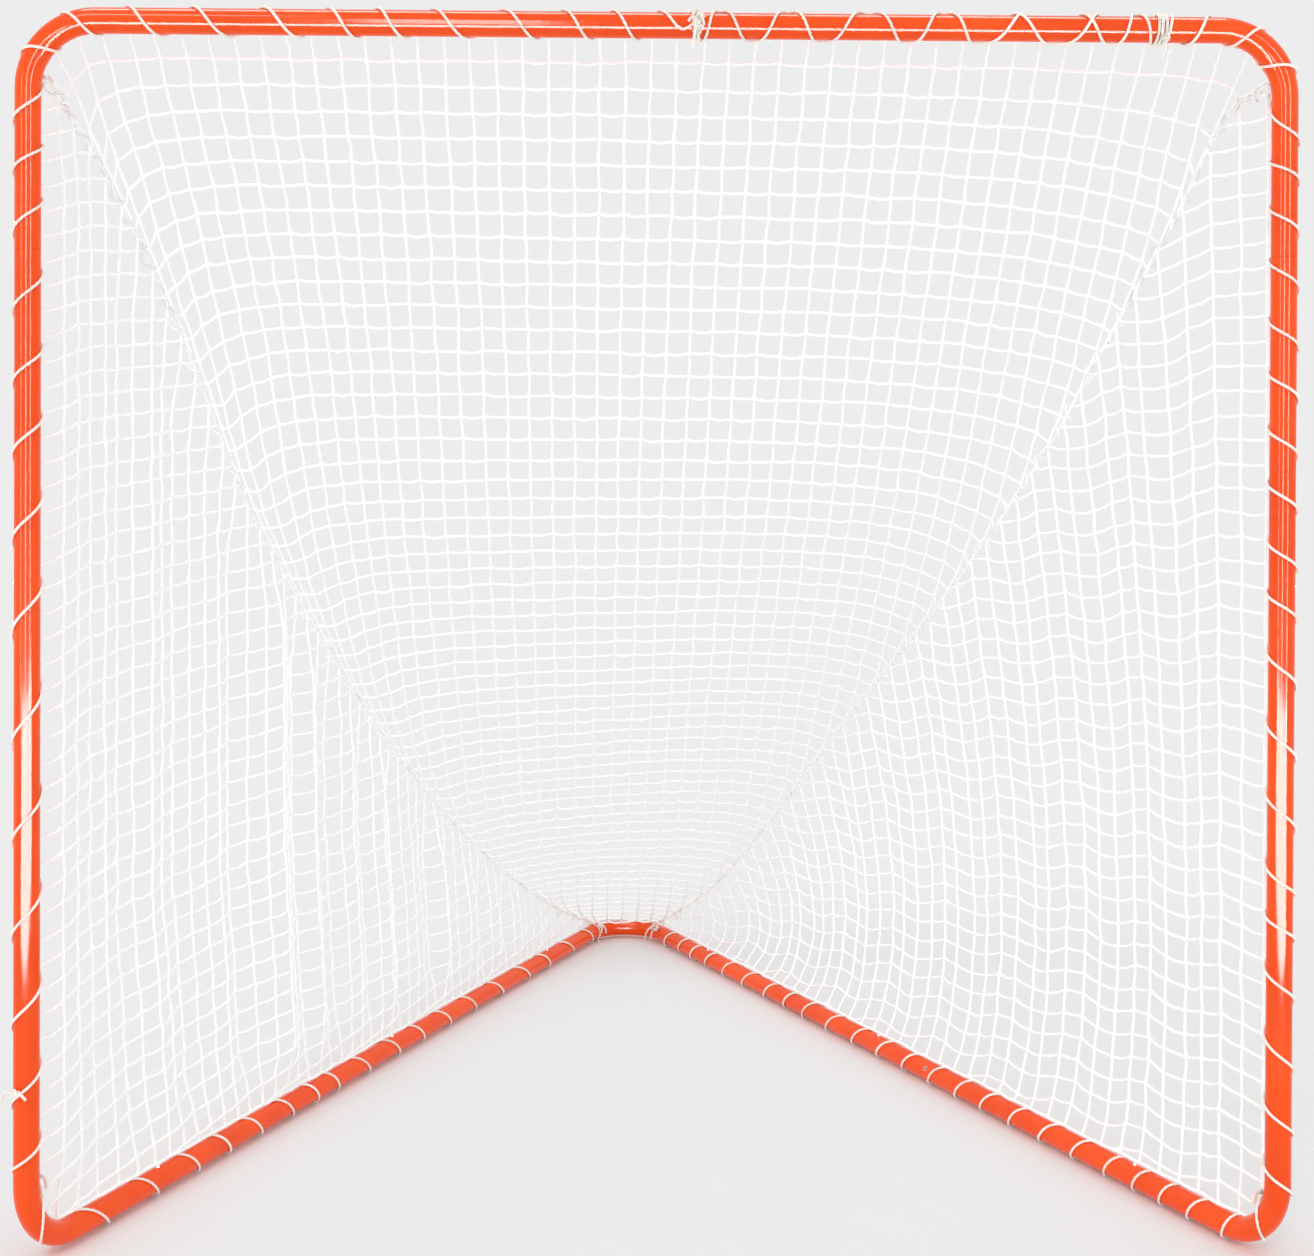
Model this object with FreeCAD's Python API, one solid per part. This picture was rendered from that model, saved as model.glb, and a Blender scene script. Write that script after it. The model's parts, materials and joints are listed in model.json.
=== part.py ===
import FreeCAD, Part
import math
import os

# Lacrosse goal: a tube frame in eleven lengths that plug together, held by spring push
# buttons, with a three-panel net laced to the tubes by cords that wind round them.
# Millimetres. X runs along the crossbar, Y from the mouth to the back, Z up.
# The origin is on the ground at the middle of the footprint.

# Playing size
mouth_width = 1829.0
mouth_height = 1829.0
depth = 2134.0

# Frame tube
tube_diameter = 38.0
tube_wall = 1.5
bend_radius = 100.0
rear_bend_radius = 100.0

# Plug joints between the tubes
spigot_length = 80.0
spigot_clearance = 0.3
swage_length = 4.0
joint_gap = 0.3
upper_joint_height = 1509.0
lower_joint_height = 977.0
front_joint_reach = 280.0
middle_joint_reach = 1080.0
rear_elbow_arm = 324.0

# Push button and its leaf spring
button_diameter = 7.0
button_proud = 4.0
button_inset = 42.0
button_clearance = 0.25
flange_diameter = 10.0
flange_thickness = 1.2
leaf_width = 8.0
leaf_thickness = 0.8
leaf_pad = 12.0
leaf_reach = 32.0
leaf_bend_height = 3.0
leaf_seat_gap = 0.05
crossbar_button_side = FreeCAD.Vector(0, 0, 1)
leg_button_side = FreeCAD.Vector(0, 0, 1)

# Steel eyelet in the right ground leg
eyelet_reach = 923.0
eyelet_lift_angle = 29.0
eyelet_bore = 5.0
eyelet_barrel = 6.4
eyelet_rim = 9.0
eyelet_rim_thickness = 0.8
eyelet_depth = 3.0
eyelet_clearance = 0.1

# Lacing cord wound round the tubes
cord_diameter = 5.0
cord_gap = 0.5
ground_flat = 0.5
crossbar_turns = {"left": 10, "right": 12}
post_turns = {"left": 14, "right": 19}
base_turns = {"left": 19, "right": 24}
crossbar_start_angle = {"left": 0.0, "right": 140.0}
post_start_angle = {"left": 130.0, "right": 20.0}
base_start_angle = {"left": 330.0, "right": 120.0}
cord_end_margin = 14.0
knot_diameter = 11.0
knot_seat_gap = 0.3

# Net
twine = 4.0
net_pitch = 114.0
net_gap = 0.8
seam_sag = 153.0
seam_cord_diameter = 6.0
seam_clearance = 0.6
back_strips = 8
flap_reach = 62.0
flap_half_width = 35.0
side_tip_height = 14.0
smallest_hole = 400.0

# How finely round edges of the flat net sheets are divided
seam_sides = 32
corner_sides = 6

# How finely cords and outlines are measured
tangent_step = 0.0001
arc_samples = 5
least_side = 0.01
nearly_upright = 0.9

# Sizes that follow from the ones above
tube_radius = tube_diameter / 2
tube_bore = tube_radius - tube_wall
spigot_radius = tube_bore - spigot_clearance
spigot_bore = spigot_radius - tube_wall
cord_radius = cord_diameter / 2
cord_path_radius = tube_radius + cord_gap + cord_radius
wound_radius = tube_radius + cord_gap + cord_diameter
net_offset = wound_radius + net_gap
post_x = mouth_width / 2 + tube_radius
post_y = -depth / 2 + tube_radius
rear_y = depth / 2 - tube_radius
base_z = wound_radius - ground_flat
crossbar_z = mouth_height + tube_radius
rear_centre_y = rear_y - rear_bend_radius
corner_to_rear = math.hypot(post_x, rear_centre_y - post_y)
leg_angle = math.atan2(post_x, rear_centre_y - post_y) - math.asin(rear_bend_radius / corner_to_rear)
leg_length = math.sqrt(corner_to_rear ** 2 - rear_bend_radius ** 2)
rear_joint_reach = leg_length - rear_elbow_arm

up = FreeCAD.Vector(0, 0, 1)
sides = {"left": -1, "right": 1}


def unit(v):
    return FreeCAD.Vector(v) / v.Length


def square_to(direction):
    """A direction at right angles to another. It is level unless the other is upright."""
    other = up if abs(direction.dot(up)) < nearly_upright else FreeCAD.Vector(0, 1, 0)
    return unit(direction.cross(other))


def leg_direction(side):
    return FreeCAD.Vector(-side * math.sin(leg_angle), math.cos(leg_angle), 0)


def leg_point(side, reach, height=0.0):
    foot = FreeCAD.Vector(side * post_x, post_y, base_z + height)
    return foot + leg_direction(side) * reach


def post_point(side, height):
    return FreeCAD.Vector(side * post_x, post_y, height)


def crossbar_point(x):
    return FreeCAD.Vector(x, post_y, crossbar_z)


class Centreline:
    """A tube's centre line: one straight, or two straights joined by a bend."""

    def __init__(self, points, radius=0.0):
        self.start = points[0]
        self.first = unit(points[1] - points[0])
        self.last = unit(points[-1] - points[-2])
        self.radius = radius
        self.turn = self.first.getAngle(self.last)
        setback = radius * math.tan(self.turn / 2)
        self.run = (points[1] - points[0]).Length - setback
        self.bend = radius * self.turn
        self.tail = (points[-1] - points[-2]).Length - setback if self.bend else 0.0
        self.length = self.run + self.bend + self.tail
        self.normal = unit(self.first.cross(self.last)) if self.bend else square_to(self.first)
        self.inward = self.normal.cross(self.first)
        self.bend_start = self.start + self.first * self.run
        self.centre = self.bend_start + self.inward * self.radius

    def at(self, s):
        """The point, the direction and the side direction at a distance along the line."""
        if s <= self.run or self.bend == 0.0:
            return self.start + self.first * s, self.first, self.inward
        angle = min((s - self.run) / self.radius, self.turn)
        direction = self.first * math.cos(angle) + self.inward * math.sin(angle)
        inward = self.inward * math.cos(angle) - self.first * math.sin(angle)
        place = self.centre - inward * self.radius
        beyond = s - self.run - self.bend
        if beyond > 0:
            place = place + direction * beyond
        return place, direction, inward

    def distance_to(self, point):
        """How far along the line a point of its straights is, or None if it is on neither."""
        tail_start = self.at(self.run + self.bend)[0]
        straights = (
            (self.start, self.first, 0.0, self.run),
            (tail_start, self.last, self.run + self.bend, self.tail))
        for origin, way, before, length in straights:
            step = (point - origin).dot(way)
            if 0 <= step <= length and (origin + way * step - point).Length < least_side:
                return before + step
        return None


def ring(centre, direction, outer, inner):
    """A flat ring-shaped face."""
    rim = Part.Wire(Part.makeCircle(outer, centre, direction))
    hole = Part.Wire(Part.makeCircle(inner, centre, direction))
    return Part.Face(rim).cut(Part.Face(hole)).Faces[0]


def hollow_tube(line):
    """A tube along a centre line, open at both ends."""
    solid = ring(line.start, line.first, tube_radius, tube_bore).extrude(line.first * line.run)
    if line.bend == 0.0:
        return solid
    elbow = ring(line.bend_start, line.first, tube_radius, tube_bore)
    elbow = elbow.revolve(line.centre, line.normal, math.degrees(line.turn))
    tail_start = line.at(line.run + line.bend)[0]
    tail = ring(tail_start, line.last, tube_radius, tube_bore).extrude(line.last * line.tail)
    return solid.fuse([elbow, tail])


def turned(profile, place, axis):
    """A solid of revolution from (along, radius) points about an axis."""
    across = square_to(axis)
    corners = [place + axis * along + across * radius for along, radius in profile]
    face = Part.Face(Part.makePolygon(corners + corners[:1]))
    return face.revolve(place, axis, 360)


def spigot(place, axis):
    """The reduced end of a tube, from the swage to its open end."""
    profile = [
        (-swage_length, tube_bore), (-swage_length, tube_radius), (0, tube_radius),
        (0, spigot_radius), (spigot_length, spigot_radius), (spigot_length, spigot_bore),
        (0, spigot_bore)]
    return turned(profile, place, axis)


def button_hole(place, out):
    return Part.makeCylinder(button_diameter / 2 + button_clearance, tube_diameter, place, out)


def push_button(place, out):
    """A domed pin with a flange that stops it under the spigot's wall."""
    radius = button_diameter / 2
    top = tube_radius + button_proud - radius
    flange_top = math.sqrt(spigot_bore ** 2 - (flange_diameter / 2) ** 2) - spigot_clearance
    flange_bottom = flange_top - flange_thickness
    flange = Part.makeCylinder(flange_diameter / 2, flange_thickness, place + out * flange_bottom, out)
    pin = Part.makeCylinder(radius, top - flange_bottom, place + out * flange_bottom, out)
    dome = Part.makeSphere(radius, place + out * top)
    return flange.fuse([pin, dome]).removeSplitter(), flange_bottom


def strip_outline(middle, thickness):
    """Both edges of a bent strip, from the points of its middle line."""
    edges = ([], [])
    for i, point in enumerate(middle):
        before = unit(point - middle[i - 1]) if i > 0 else unit(middle[1] - point)
        after = unit(middle[i + 1] - point) if i < len(middle) - 1 else before
        mitre = unit(before + after)
        across = FreeCAD.Vector(-mitre.y, mitre.x, 0)
        square = FreeCAD.Vector(-before.y, before.x, 0)
        reach = thickness / 2 / across.dot(square)
        edges[0].append(point + across * reach)
        edges[1].append(point - across * reach)
    return edges[0] + edges[1][::-1]


def leaf_spring(place, out, back, flange_bottom):
    """A V of spring strip: one leg carries the button, the other bears on the far wall."""
    carry = flange_bottom - leaf_seat_gap - leaf_thickness / 2
    bear = math.sqrt(spigot_bore ** 2 - (leaf_width / 2) ** 2) - spigot_clearance
    bear = leaf_thickness / 2 - bear
    half_pad = leaf_pad / 2
    half_bend = leaf_bend_height / 2
    middle = [
        (-half_pad, carry), (half_pad, carry), (leaf_reach, half_bend), (leaf_reach + half_bend, 0),
        (leaf_reach, -half_bend), (half_pad, bear), (-half_pad, bear)]
    outline = strip_outline([FreeCAD.Vector(along, lift, 0) for along, lift in middle], leaf_thickness)
    across = back.cross(out)
    corner = place - across * (leaf_width / 2)
    corners = [corner + back * point.x + out * point.y for point in outline]
    face = Part.Face(Part.makePolygon(corners + corners[:1]))
    return face.extrude(across * leaf_width)


def biarc(start, start_way, end, end_way):
    """Two circular arcs from one point and direction to another, smooth where they meet."""
    chord = end - start
    ways = start_way + end_way
    spread = 2 * (1 - start_way.dot(end_way))
    along = chord.dot(ways)
    reach = (-along + math.sqrt(along ** 2 + spread * chord.dot(chord))) / spread
    first_corner = start + start_way * reach
    second_corner = end - end_way * reach
    meeting = (first_corner + second_corner) / 2
    meeting_way = unit(second_corner - first_corner)
    arcs = []
    for a, way, b in ((start, start_way, meeting), (meeting, meeting_way, end)):
        step = b - a
        side = step - way * step.dot(way)
        radius = step.dot(step) / (2 * side.Length)
        inward = unit(side)
        half = math.asin(min(1.0, step.Length / (2 * radius)))
        middle = a + (way * math.sin(half) + inward * (1 - math.cos(half))) * radius
        arcs.append(Part.Arc(a, middle, b).toShape())
    return arcs


def passed_fittings(line, first, last):
    """The buttons and the eyelet on a stretch of tube: how far along, and at what angle round it."""
    fittings = [(place + way * button_inset, out) for _, place, way, out in joints()]
    fittings.append((leg_point(1, eyelet_reach), eyelet_side()))
    found = []
    for place, out in fittings:
        s = line.distance_to(place)
        if s is not None and first < s < last:
            inward = line.at(s)[2]
            found.append((s, math.atan2(out.dot(line.normal), out.dot(inward))))
    return sorted(found)


def winding(line, first, last, turns, start_angle, hand):
    """Distance and angle of a wound cord at every quarter turn or so.

    The cord passes each button and the eyelet on the far side of the tube from it, so its
    turns between them are as near to the even pitch as that allows."""
    pitch = (last - first) / turns
    start = math.radians(start_angle)
    stops = [(s, angle + math.pi) for s, angle in passed_fittings(line, first, last)]
    stops.append((last, start))
    places = [(first, start)]
    for s, target in stops:
        before, angle = places[-1]
        share = hand * (target - angle) / (2 * math.pi) % 1
        wraps = share + max(0, round((s - before) / pitch - share))
        steps = max(1, math.ceil(wraps * 4))
        for i in range(1, steps + 1):
            along = before + (s - before) * i / steps
            places.append((along, angle + hand * 2 * math.pi * wraps * i / steps))
    return places


def wound_cord(name, line, first, last, turns, start_angle, hand):
    """One unbroken cord that winds round a tube from one distance along it to another."""
    places = winding(line, first, last, turns, start_angle, hand)
    small = (last - first) / turns * tangent_step

    def place(s, angle):
        centre, _, inward = line.at(s)
        spoke = inward * math.cos(angle) + line.normal * math.sin(angle)
        return centre + spoke * cord_path_radius

    points = [place(s, angle) for s, angle in places]
    ways = []
    for i, (s, angle) in enumerate(places):
        before = places[max(i - 1, 0)]
        after = places[min(i + 1, len(places) - 1)]
        twist = (after[1] - before[1]) / (after[0] - before[0]) * small
        ways.append(unit(place(s + small, angle + twist) - place(s - small, angle - twist)))
    edges = []
    for i in range(len(points) - 1):
        edges.extend(biarc(points[i], ways[i], points[i + 1], ways[i + 1]))
    path = Part.Wire(edges)
    section = Part.Wire(Part.makeCircle(cord_radius, points[0], ways[0]))
    cord = path.makePipeShell([section], True, False)
    samples = [point for edge in edges for point in edge.discretize(arc_samples)[:-1]]
    half_turn = len(samples) // turns // 2
    apart = min((a - b).Length for i, a in enumerate(samples) for b in samples[i + half_turn:])
    volume = math.pi * cord_radius ** 2 * path.Length
    tightest = min(edge.Curve.Radius for edge in edges)
    wraps = abs(places[-1][1] - places[0][1]) / (2 * math.pi)
    print(name, "turns %.2f, length %.0f" % (wraps, path.Length),
          "volume over section times length %.4f" % (cord.Volume / volume),
          "tightest radius %.1f, least gap to itself %.1f" % (tightest, apart - cord_diameter))
    return cord, points[0], ways[0], points[-1], ways[-1]


def knot(place, way, axis_point):
    """A knot at the end of a cord, lifted to lie on the tube."""
    spoke = unit(place - axis_point)
    radius = knot_diameter / 2
    lift = tube_radius + cord_gap + radius - cord_path_radius
    centre = place + way * (radius + knot_seat_gap) + spoke * lift
    return Part.makeSphere(radius, centre)


def inside_cell(polygon, low, high):
    """The piece of a polygon that lies inside a box cell, as corner pairs."""
    tests = ((0, low[0], 1), (0, high[0], -1), (1, low[1], 1), (1, high[1], -1))
    for axis, limit, sign in tests:
        kept = []
        for i, here in enumerate(polygon):
            before = polygon[i - 1]
            here_in = (here[axis] - limit) * sign >= 0
            before_in = (before[axis] - limit) * sign >= 0
            if here_in != before_in:
                share = (limit - before[axis]) / (here[axis] - before[axis])
                kept.append((before[0] + (here[0] - before[0]) * share,
                             before[1] + (here[1] - before[1]) * share))
            if here_in:
                kept.append(here)
        polygon = kept
        if len(polygon) < 3:
            return []
    tidy = [p for i, p in enumerate(polygon) if math.dist(p, polygon[i - 1]) > least_side]
    return tidy


def polygon_area(polygon):
    pairs = zip(polygon, polygon[1:] + polygon[:1])
    return abs(sum(a[0] * b[1] - a[1] * b[0] for a, b in pairs)) / 2


def mesh_holes(inner, first_column, first_row):
    """The gaps of a net over an inner polygon, on a square pitch."""
    gaps = []
    columns = [p[0] for p in inner]
    rows = [p[1] for p in inner]
    i_low = math.floor((min(columns) - first_column) / net_pitch)
    i_high = math.ceil((max(columns) - first_column) / net_pitch)
    j_low = math.floor((min(rows) - first_row) / net_pitch)
    j_high = math.ceil((max(rows) - first_row) / net_pitch)
    half = twine / 2
    for i in range(i_low, i_high):
        for j in range(j_low, j_high):
            low = (first_column + i * net_pitch + half, first_row + j * net_pitch + half)
            high = (low[0] + net_pitch - twine, low[1] + net_pitch - twine)
            gap = inside_cell(inner, low, high)
            if len(gap) > 2 and polygon_area(gap) > smallest_hole:
                gaps.append(gap)
    return gaps


def holed_sheet(outline, gaps, to_space, thickness):
    """A flat sheet of a net's thickness with the gaps through it."""
    holes = []
    for gap in gaps:
        corners = [to_space(p) for p in gap]
        holes.append(Part.Face(Part.makePolygon(corners + corners[:1])))
    sheet = Part.Face(outline).cut(Part.makeCompound(holes))
    return sheet.extrude(thickness)


def seam_curve():
    """Centre, radius and end angles of the seam's arc, in (reach, height) over a leg."""
    start = (net_offset + seam_cord_diameter / 2, crossbar_z - bend_radius - base_z)
    end = (leg_length, net_offset + seam_cord_diameter)
    chord = (end[0] - start[0], end[1] - start[1])
    span = math.hypot(*chord)
    radius = (span ** 2 / 4 + seam_sag ** 2) / (2 * seam_sag)
    middle = ((start[0] + end[0]) / 2, (start[1] + end[1]) / 2)
    outward = (-chord[1] / span, chord[0] / span)
    centre = (middle[0] + outward[0] * (radius - seam_sag), middle[1] + outward[1] * (radius - seam_sag))
    first = math.atan2(start[1] - centre[1], start[0] - centre[0])
    last = math.atan2(end[1] - centre[1], end[0] - centre[0])
    return centre, radius, first, last


def seam_points(count, offset=0.0):
    """Points along the seam, moved away from the seam's centre of curvature by an offset."""
    centre, radius, first, last = seam_curve()
    angles = [first + (last - first) * i / count for i in range(count + 1)]
    grown = radius + offset
    return [(centre[0] + grown * math.cos(a), centre[1] + grown * math.sin(a)) for a in angles]


def side_net(side):
    """The net panel over one ground leg: a flat sheet in the leg's upright plane."""
    clear = seam_cord_diameter / 2 + seam_clearance
    corner = bend_radius - net_offset
    quarter = [math.pi + math.pi / 2 * i / corner_sides for i in range(corner_sides + 1)]
    bottom = [(bend_radius + corner * math.cos(a), bend_radius + corner * math.sin(a)) for a in quarter]
    (centre_reach, centre_height), radius, _, _ = seam_curve()
    radius += clear
    tip = net_offset + side_tip_height
    top = centre_height - math.sqrt(radius ** 2 - (centre_reach - net_offset) ** 2)
    rear = centre_reach - math.sqrt(radius ** 2 - (centre_height - tip) ** 2)
    edge = [p for p in seam_points(seam_sides, clear) if net_offset < p[0] and tip < p[1]]
    outline = bottom + [(rear, net_offset), (rear, tip)] + edge[::-1] + [(net_offset, top)]

    def to_space(p):
        return leg_point(side, p[0], p[1])

    inner = shrunk(outline, twine)
    corners = [to_space(p) for p in outline]
    wire = Part.makePolygon(corners + corners[:1])
    across = leg_direction(side).cross(up) * twine
    gaps = mesh_holes(inner, net_offset, net_offset)
    sheet = holed_sheet(wire, gaps, to_space, across)
    sheet.translate(across * -0.5)
    return sheet, len(gaps)


def shrunk(polygon, margin):
    """A polygon with every side moved inwards by a margin."""
    count = len(polygon)
    turning = sum(a[0] * b[1] - a[1] * b[0] for a, b in zip(polygon, polygon[1:] + polygon[:1]))
    sign = 1 if turning > 0 else -1
    moved = []
    for i in range(count):
        before, here, after = polygon[i - 1], polygon[i], polygon[(i + 1) % count]
        a = (here[0] - before[0], here[1] - before[1])
        b = (after[0] - here[0], after[1] - here[1])
        a_length = math.hypot(*a)
        b_length = math.hypot(*b)
        normal_a = (-a[1] / a_length * sign, a[0] / a_length * sign)
        normal_b = (-b[1] / b_length * sign, b[0] / b_length * sign)
        mean = (normal_a[0] + normal_b[0], normal_a[1] + normal_b[1])
        scale = margin * 2 / (mean[0] ** 2 + mean[1] ** 2)
        moved.append((here[0] + mean[0] * scale, here[1] + mean[1] * scale))
    return moved


def back_net():
    """The net panel from the crossbar down to the rear bend: flat strips that follow the seams.

    Every strip takes its thickness in one shared direction, so that they meet face to face."""
    seam = seam_points(back_strips)
    clear = seam_cord_diameter / 2 + seam_clearance + twine / 2
    rows = []
    for reach, height in seam:
        point = leg_point(1, reach, height)
        rows.append((point.x - clear / math.cos(leg_angle), point.y, point.z))
    slope = unit(FreeCAD.Vector(0, rows[1][1] - rows[0][1], rows[1][2] - rows[0][2]))
    top = crossbar_point(0) + slope * net_offset
    rows.insert(0, (post_x - bend_radius, top.y, top.z))
    rear = rear_y - rear_bend_radius + flap_reach
    rows.append((flap_half_width, rear, base_z + net_offset + twine))
    strips = []
    count = 0
    chord = FreeCAD.Vector(0, rows[-1][1] - rows[0][1], rows[-1][2] - rows[0][2])
    thickness = unit(chord.cross(FreeCAD.Vector(1, 0, 0))) * twine
    for above, below in zip(rows, rows[1:]):
        start = FreeCAD.Vector(0, above[1], above[2])
        down = FreeCAD.Vector(0, below[1], below[2]) - start
        fall = down.Length
        way = unit(down)
        outline = [(-above[0], 0), (above[0], 0), (below[0], fall), (-below[0], fall)]
        rim = twine / 2
        inner = [
            (-above[0] + twine, rim), (above[0] - twine, rim),
            (below[0] - twine, fall - rim), (-below[0] + twine, fall - rim)]

        def to_space(p):
            return start + FreeCAD.Vector(p[0], 0, 0) + way * p[1]

        corners = [to_space(p) for p in outline]
        wire = Part.makePolygon(corners + corners[:1])
        gaps = mesh_holes(inner, 0, 0)
        count += len(gaps)
        strip = holed_sheet(wire, gaps, to_space, thickness)
        strip.translate(thickness * -0.5)
        strips.append(strip)
    return Part.makeCompound(strips), count


def seam_cord(side):
    """The thicker cord that joins a side panel to the back panel."""
    points = seam_points(2)
    ends = [leg_point(side, *p) for p in points]
    path = Part.Wire(Part.Arc(ends[0], ends[1], ends[2]).toShape())
    way = path.Edges[0].tangentAt(path.Edges[0].FirstParameter)
    section = Part.Wire(Part.makeCircle(seam_cord_diameter / 2, ends[0], way))
    return path.makePipeShell([section], True, False)


def joints():
    """Every plug joint: its name, its place, the way its spigot points and its button's side."""
    found = [("crossbar", crossbar_point(0), FreeCAD.Vector(1, 0, 0), crossbar_button_side)]
    for word, side in sides.items():
        outward = FreeCAD.Vector(side, 0, 0)
        leg = leg_direction(side)
        found.append(("post_upper_" + word, post_point(side, upper_joint_height), up, outward))
        found.append(("post_lower_" + word, post_point(side, lower_joint_height), up, outward))
        found.append(("base_front_" + word, leg_point(side, front_joint_reach), leg, leg_button_side))
        found.append(("base_middle_" + word, leg_point(side, middle_joint_reach), leg, leg_button_side))
        found.append(("base_rear_" + word, leg_point(side, rear_joint_reach), leg, leg_button_side))
    return found


def frame_tubes():
    """The eleven tubes, each with the spigots that belong to it."""
    tubes = {}
    neck = swage_length
    for word, side in sides.items():
        middle = joint_gap if side > 0 else -neck
        tubes["crossbar_corner_" + word] = hollow_tube(Centreline([
            crossbar_point(middle), crossbar_point(side * post_x),
            post_point(side, upper_joint_height + joint_gap)], bend_radius))
        tubes["post_middle_" + word] = hollow_tube(Centreline([
            post_point(side, lower_joint_height + joint_gap), post_point(side, upper_joint_height - neck)]))
        tubes["front_elbow_" + word] = hollow_tube(Centreline([
            post_point(side, lower_joint_height - neck), post_point(side, base_z),
            leg_point(side, front_joint_reach - neck)], bend_radius))
        tubes["base_front_" + word] = hollow_tube(Centreline([
            leg_point(side, front_joint_reach + joint_gap), leg_point(side, middle_joint_reach - neck)]))
        tubes["base_rear_" + word] = hollow_tube(Centreline([
            leg_point(side, middle_joint_reach + joint_gap), leg_point(side, rear_joint_reach - neck)]))
    apex = FreeCAD.Vector(0, post_y + post_x / math.tan(leg_angle), base_z)
    tubes["rear_elbow"] = hollow_tube(Centreline([
        leg_point(-1, rear_joint_reach + joint_gap), apex,
        leg_point(1, rear_joint_reach + joint_gap)], rear_bend_radius))
    return tubes


def joint_tubes(name):
    """Which tube carries a joint's spigot, and which tube takes it."""
    if name == "crossbar":
        return "crossbar_corner_left", "crossbar_corner_right"
    place, word = name.rsplit("_", 1)
    pairs = {
        "post_upper": ("post_middle_", "crossbar_corner_"),
        "post_lower": ("front_elbow_", "post_middle_"),
        "base_front": ("front_elbow_", "base_front_"),
        "base_middle": ("base_front_", "base_rear_"),
        "base_rear": ("base_rear_", "rear_elbow")}
    carrier, taker = pairs[place]
    return carrier + word, taker if taker == "rear_elbow" else taker + word


def plug_joints(tubes):
    """Adds the spigots to the tubes, drills them and makes the buttons and springs."""
    fittings = {}
    for name, place, way, out in joints():
        carrier, taker = joint_tubes(name)
        centre = place + way * button_inset
        hole = button_hole(centre, out)
        tubes[carrier] = tubes[carrier].fuse(spigot(place, way)).cut(hole)
        tubes[taker] = tubes[taker].cut(hole)
        button, flange_bottom = push_button(centre, out)
        fittings["button_" + name] = button
        fittings["spring_" + name] = leaf_spring(centre, out, way * -1, flange_bottom)
    return fittings


def eyelet_side():
    """The way out of the right ground leg that its eyelet faces."""
    lift = math.radians(eyelet_lift_angle)
    inner = leg_direction(1).cross(up) * -1
    return inner * math.cos(lift) + up * math.sin(lift)


def eyelet(tubes):
    """A rolled steel eyelet set in the inner face of the right ground leg."""
    out = eyelet_side()
    place = leg_point(1, eyelet_reach)
    hole = Part.makeCylinder(eyelet_barrel / 2 + eyelet_clearance, tube_diameter, place, out)
    tubes["base_front_right"] = tubes["base_front_right"].cut(hole)
    rim_base = tube_radius + eyelet_clearance
    bore = eyelet_bore / 2
    barrel = eyelet_barrel / 2
    profile = [
        (rim_base - eyelet_depth, bore), (rim_base - eyelet_depth, barrel), (rim_base, barrel),
        (rim_base, eyelet_rim / 2), (rim_base + eyelet_rim_thickness, eyelet_rim / 2),
        (rim_base + eyelet_rim_thickness, bore)]
    return turned(profile, place, out)


def half_bend():
    """How far along a ninety degree bend its middle lies."""
    return bend_radius * math.pi / 4


def ground():
    """A block under the ground plane, wider than the goal."""
    size = 2 * (mouth_width + depth)
    return Part.makeBox(size, size, depth, FreeCAD.Vector(-size / 2, -size / 2, -depth))


def lacing():
    """The cords that hold the net's edges to the tubes, and their end knots."""
    cords = {}
    knots = []
    for word, side in sides.items():
        top = [crossbar_point(0), crossbar_point(side * post_x), post_point(side, base_z)]
        bottom = [post_point(side, crossbar_z), post_point(side, base_z), leg_point(side, leg_length)]
        crossbar_line = Centreline(top, bend_radius)
        post_line = Centreline(top[::-1], bend_radius)
        base_line = Centreline(bottom, bend_radius)
        post_end = post_line.run + half_bend() - cord_end_margin
        crossbar_end = crossbar_line.run + half_bend() - cord_end_margin
        base_start = base_line.run + half_bend() + cord_end_margin
        base_end = base_line.length - cord_end_margin
        runs = {
            "crossbar": (crossbar_line, cord_end_margin, crossbar_end, crossbar_turns, crossbar_start_angle),
            "post": (post_line, bend_radius, post_end, post_turns, post_start_angle),
            "base": (base_line, base_start, base_end, base_turns, base_start_angle)}
        for place, (line, first, last, count, angle) in runs.items():
            name = "lacing_" + place + "_" + word
            cord, start, start_way, end, end_way = wound_cord(
                name, line, first, last, count[word], angle[word], -side)
            if place == "base":
                cord = cord.cut(ground())
            cords[name] = cord
            knots.append(knot(start, start_way * -1, line.at(first)[0]))
            knots.append(knot(end, end_way, line.at(last)[0]))
    cords["lacing_knots"] = Part.makeCompound(knots)
    return cords


def build():
    nodes = frame_tubes()
    nodes.update(plug_joints(nodes))
    nodes["base_eyelet"] = eyelet(nodes)
    nodes.update(lacing())
    for word, side in sides.items():
        nodes["net_side_" + word], gaps = side_net(side)
        nodes["seam_cord_" + word] = seam_cord(side)
        print("gaps in the side net", gaps)
    nodes["net_back"], gaps = back_net()
    print("gaps in the back net", gaps)
    return nodes


def main():
    os.makedirs("parts", exist_ok=True)
    for name, shape in build().items():
        shape.exportStep("parts/" + name + ".step")
        box = shape.BoundBox
        print("%-24s solids %d valid %s volume %.0f z %.2f..%.2f" % (
            name, len(shape.Solids), shape.isValid(), shape.Volume, box.ZMin, box.ZMax))


main()
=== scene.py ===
import json
import math
import random
import bpy
from mathutils import Matrix, Vector

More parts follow.
